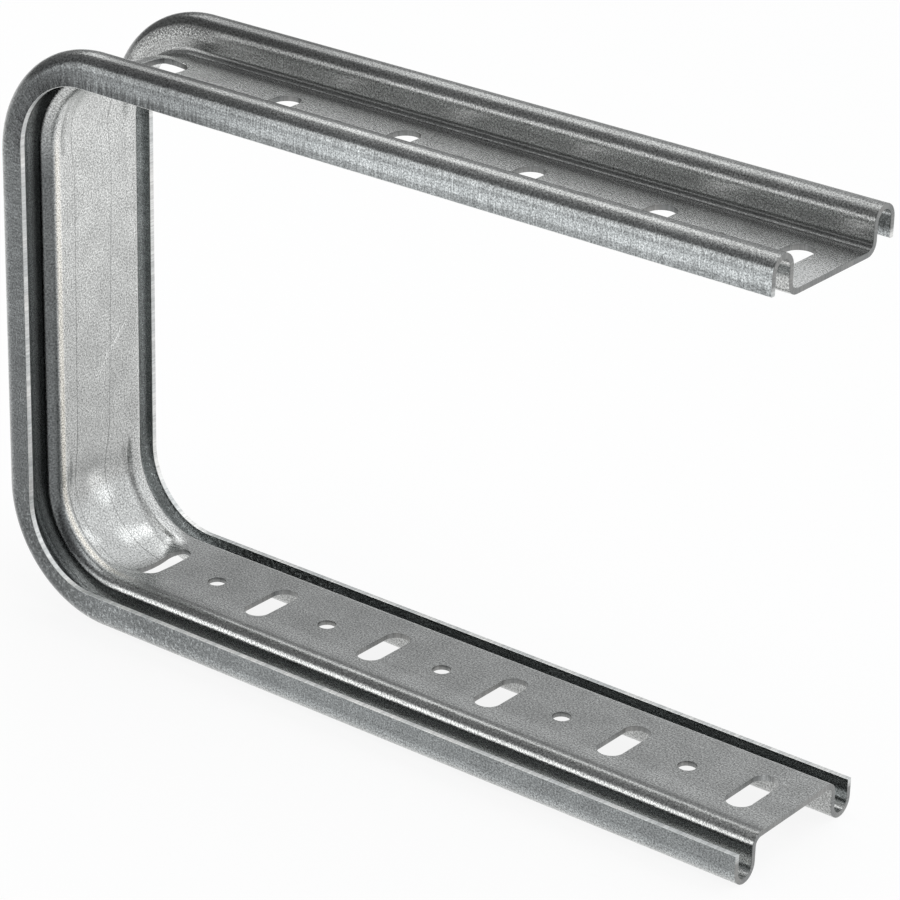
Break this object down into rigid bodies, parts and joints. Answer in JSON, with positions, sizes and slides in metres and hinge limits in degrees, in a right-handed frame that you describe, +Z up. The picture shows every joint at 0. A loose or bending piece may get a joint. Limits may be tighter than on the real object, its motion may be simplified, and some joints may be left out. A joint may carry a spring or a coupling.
{
  "type": "cable tray bracket",
  "caption": "C-shaped cable tray bracket bent from one strip of galvanised steel with rolled rims, slotted and drilled along both arms.",
  "frame": {"origin": "middle of the footprint, on the surface that the lower arm's two rims stand on", "axes": "+X from the upright leg along the arms to their open ends, +Y across the strip, +Z up the leg"},
  "size_m": [0.249, 0.052, 0.167],
  "materials": {
    "galvanised_steel": "zinc-coated strip, dull mid grey with a fine grain, cut edges brighter"
  },
  "bodies": {
    "root": {"tray_bracket": "galvanised_steel"}
  },
  "joints": []
}
